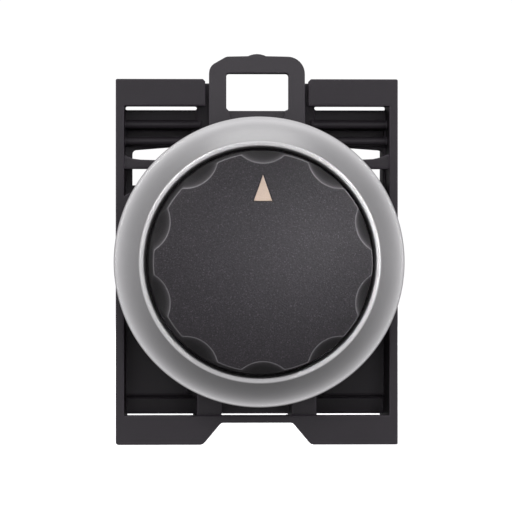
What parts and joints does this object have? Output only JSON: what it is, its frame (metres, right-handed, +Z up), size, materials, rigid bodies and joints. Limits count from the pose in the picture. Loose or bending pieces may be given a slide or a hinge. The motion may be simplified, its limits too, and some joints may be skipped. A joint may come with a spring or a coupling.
{
  "type": "rotary isolator switch",
  "caption": "Quarter-turn panel switch: round scalloped knob in a flared silver bezel, a head through the panel, a clip-on fixing adapter with a sliding latch, and a contact block behind.",
  "frame": {"origin": "centre of the panel hole at the panel's front face, where the gasket rests", "axes": "+Y goes into the panel along the switch axis, +Z is up with the anti-rotation key at the top, +X is to the right seen from the front"},
  "size_m": [0.03, 0.0615, 0.0415],
  "materials": {
    "knob_black": "fine spark-eroded grain",
    "marker_cream": "matt",
    "bezel_silver": "satin silver plating on plastic",
    "moulded_black": "satin moulded",
    "seal_rubber": "matt",
    "rotor_white": "satin moulded",
    "tappet_grey": "satin moulded",
    "plunger_green": "satin moulded",
    "cover_grey": "satin moulded",
    "spring_steel": "drawn wire",
    "zinc_steel": "zinc plated",
    "brass": "stamped strip",
    "contact_silver": "silver alloy"
  },
  "bodies": {
    "switch_body": {"bezel_ring": "bezel_silver", "panel_gasket": "seal_rubber", "head_body": "moulded_black", "detent_spring": "spring_steel", "tappet_spring": "spring_steel", "rear_cap": "moulded_black", "adapter_frame": "moulded_black", "latch_spring": "spring_steel", "contact_housing": "moulded_black", "contact_cover": "cover_grey", "plunger_spring": "spring_steel", "fixed_contact_upper": "brass", "fixed_contact_lower": "brass", "fixed_tip_upper": "contact_silver", "fixed_tip_lower": "contact_silver"},
    "knob": {"knob": "knob_black", "arrow_marker": "marker_cream", "rotor": "rotor_white", "knob_screw": "zinc_steel", "shaft_seal": "seal_rubber"},
    "tappet": {"tappet": "tappet_grey"},
    "plunger": {"contact_plunger": "plunger_green", "bridge_spring": "spring_steel"},
    "bridge": {"contact_bridge": "brass", "moving_tip_upper": "contact_silver", "moving_tip_lower": "contact_silver"},
    "latch": {"latch_slider": "moulded_black"},
    "clamp_left": {"clamp_screw_left": "zinc_steel"},
    "clamp_right": {"clamp_screw_right": "zinc_steel"},
    "terminal_upper": {"terminal_screw_upper": "zinc_steel", "clamp_plate_upper": "zinc_steel"},
    "terminal_lower": {"terminal_screw_lower": "zinc_steel", "clamp_plate_lower": "zinc_steel"}
  },
  "joints": [
    {"name": "knob_turn", "type": "hinge", "parent": "switch_body", "child": "knob", "pos_m": [0, 0, 0], "axis": [0, 1, 0], "range_deg": [0, 90], "deforming": ["detent_spring"]},
    {"name": "tappet_push", "type": "slide", "parent": "switch_body", "child": "tappet", "axis": [0, 1, 0], "range_m": [0, 0.0032], "deforming": ["tappet_spring"]},
    {"name": "plunger_push", "type": "slide", "parent": "switch_body", "child": "plunger", "axis": [0, 1, 0], "range_m": [0, 0.0032], "deforming": ["plunger_spring"]},
    {"name": "bridge_travel", "type": "slide", "parent": "switch_body", "child": "bridge", "axis": [0, 1, 0], "range_m": [0, 0.0029], "deforming": ["bridge_spring"]},
    {"name": "latch_lift", "type": "slide", "parent": "switch_body", "child": "latch", "axis": [0, 0, 1], "range_m": [0, 0.0012], "stiffness_N_per_m": 500, "springref_m": -0.002, "deforming": ["latch_spring"]},
    {"name": "clamp_screw_left_drive", "type": "slide", "parent": "switch_body", "child": "clamp_left", "axis": [0, -1, 0], "range_m": [0, 0.006]},
    {"name": "clamp_screw_right_drive", "type": "slide", "parent": "switch_body", "child": "clamp_right", "axis": [0, -1, 0], "range_m": [0, 0.006]},
    {"name": "terminal_upper_tighten", "type": "slide", "parent": "switch_body", "child": "terminal_upper", "axis": [0, -1, 0], "range_m": [0, 0.003]},
    {"name": "terminal_lower_tighten", "type": "slide", "parent": "switch_body", "child": "terminal_lower", "axis": [0, -1, 0], "range_m": [0, 0.003]}
  ],
  "couplings": [
    {"joint": "tappet_push", "follows": "knob_turn", "m_per_rad": 0.0020372},
    {"joint": "plunger_push", "follows": "knob_turn", "m_per_rad": 0.0020372},
    {"joint": "bridge_travel", "follows": "knob_turn", "m_per_rad": 0.0018462}
  ]
}
